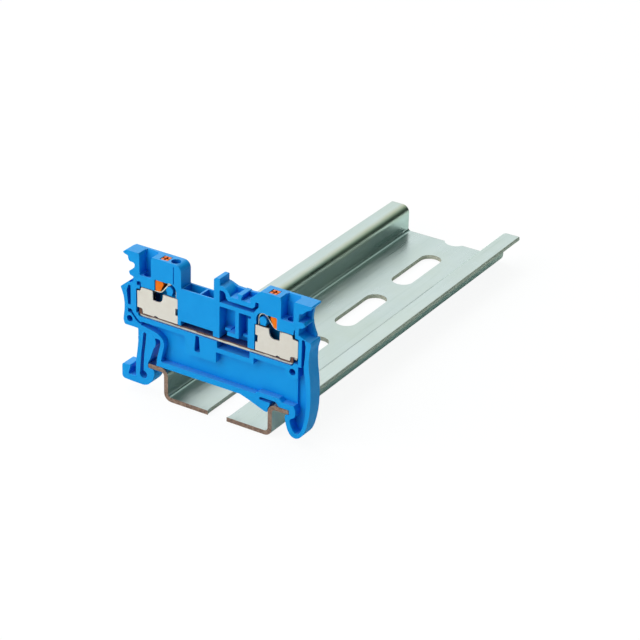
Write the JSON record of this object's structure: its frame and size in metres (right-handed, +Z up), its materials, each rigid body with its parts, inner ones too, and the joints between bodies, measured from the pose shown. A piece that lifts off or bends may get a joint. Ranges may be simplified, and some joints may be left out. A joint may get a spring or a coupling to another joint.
{
  "type": "din rail terminal block",
  "caption": "Push-in feed-through terminal block with an open side, clipped on a perforated top-hat rail; spring clamps with release buttons.",
  "frame": {"origin": "centre of the rail's middle full slot, on the rail's underside", "axes": "+X across the rail, +Y along the rail away from the block's open side, +Z up from the mounting surface"},
  "size_m": [0.0471, 0.1, 0.0325],
  "materials": {
    "zinc_plated_steel": "zinc plated, satin",
    "blue_polyamide": "moulded, fine satin",
    "tinned_copper": "tin plated, cut edges copper coloured",
    "nickel_plated_sheet": "matt plated",
    "spring_steel": "polished strip",
    "orange_plastic": "moulded, fine satin"
  },
  "bodies": {
    "rail": {"din_rail": "zinc_plated_steel"},
    "block": {"housing": "blue_polyamide", "current_bar": "tinned_copper", "clamp_cage_left": "nickel_plated_sheet", "clamp_cage_right": "nickel_plated_sheet", "spring_loop_left": "spring_steel", "spring_loop_right": "spring_steel"},
    "foot": {"release_foot": "blue_polyamide"},
    "leg_left": {"clamping_leg_left": "spring_steel"},
    "leg_right": {"clamping_leg_right": "spring_steel"},
    "button_left": {"release_button_left": "orange_plastic"},
    "button_right": {"release_button_right": "orange_plastic"}
  },
  "joints": [
    {"name": "block_slide", "type": "slide", "parent": "rail", "child": "block", "axis": [0, 1, 0], "range_m": [0, 0.0964]},
    {"name": "foot_flex", "type": "hinge", "parent": "block", "child": "foot", "pos_m": [-0.01785, -0.05575, 0.0129], "axis": [0, 1, 0], "range_deg": [0, 12]},
    {"name": "button_left_press", "type": "slide", "parent": "block", "child": "button_left", "axis": [0, 0, -1], "range_m": [0, 0.001]},
    {"name": "button_right_press", "type": "slide", "parent": "block", "child": "button_right", "axis": [0, 0, -1], "range_m": [0, 0.001]},
    {"name": "leg_left_flex", "type": "hinge", "parent": "block", "child": "leg_left", "pos_m": [-0.012, -0.05605, 0.02615], "axis": [0, -1, 0], "range_deg": [0, 19.1]},
    {"name": "leg_right_flex", "type": "hinge", "parent": "block", "child": "leg_right", "pos_m": [0.011, -0.05605, 0.02615], "axis": [0, 1, 0], "range_deg": [0, 19.1]}
  ],
  "couplings": [
    {"joint": "leg_left_flex", "follows": "button_left_press", "rad_per_m": 331.6},
    {"joint": "leg_right_flex", "follows": "button_right_press", "rad_per_m": 331.6}
  ]
}
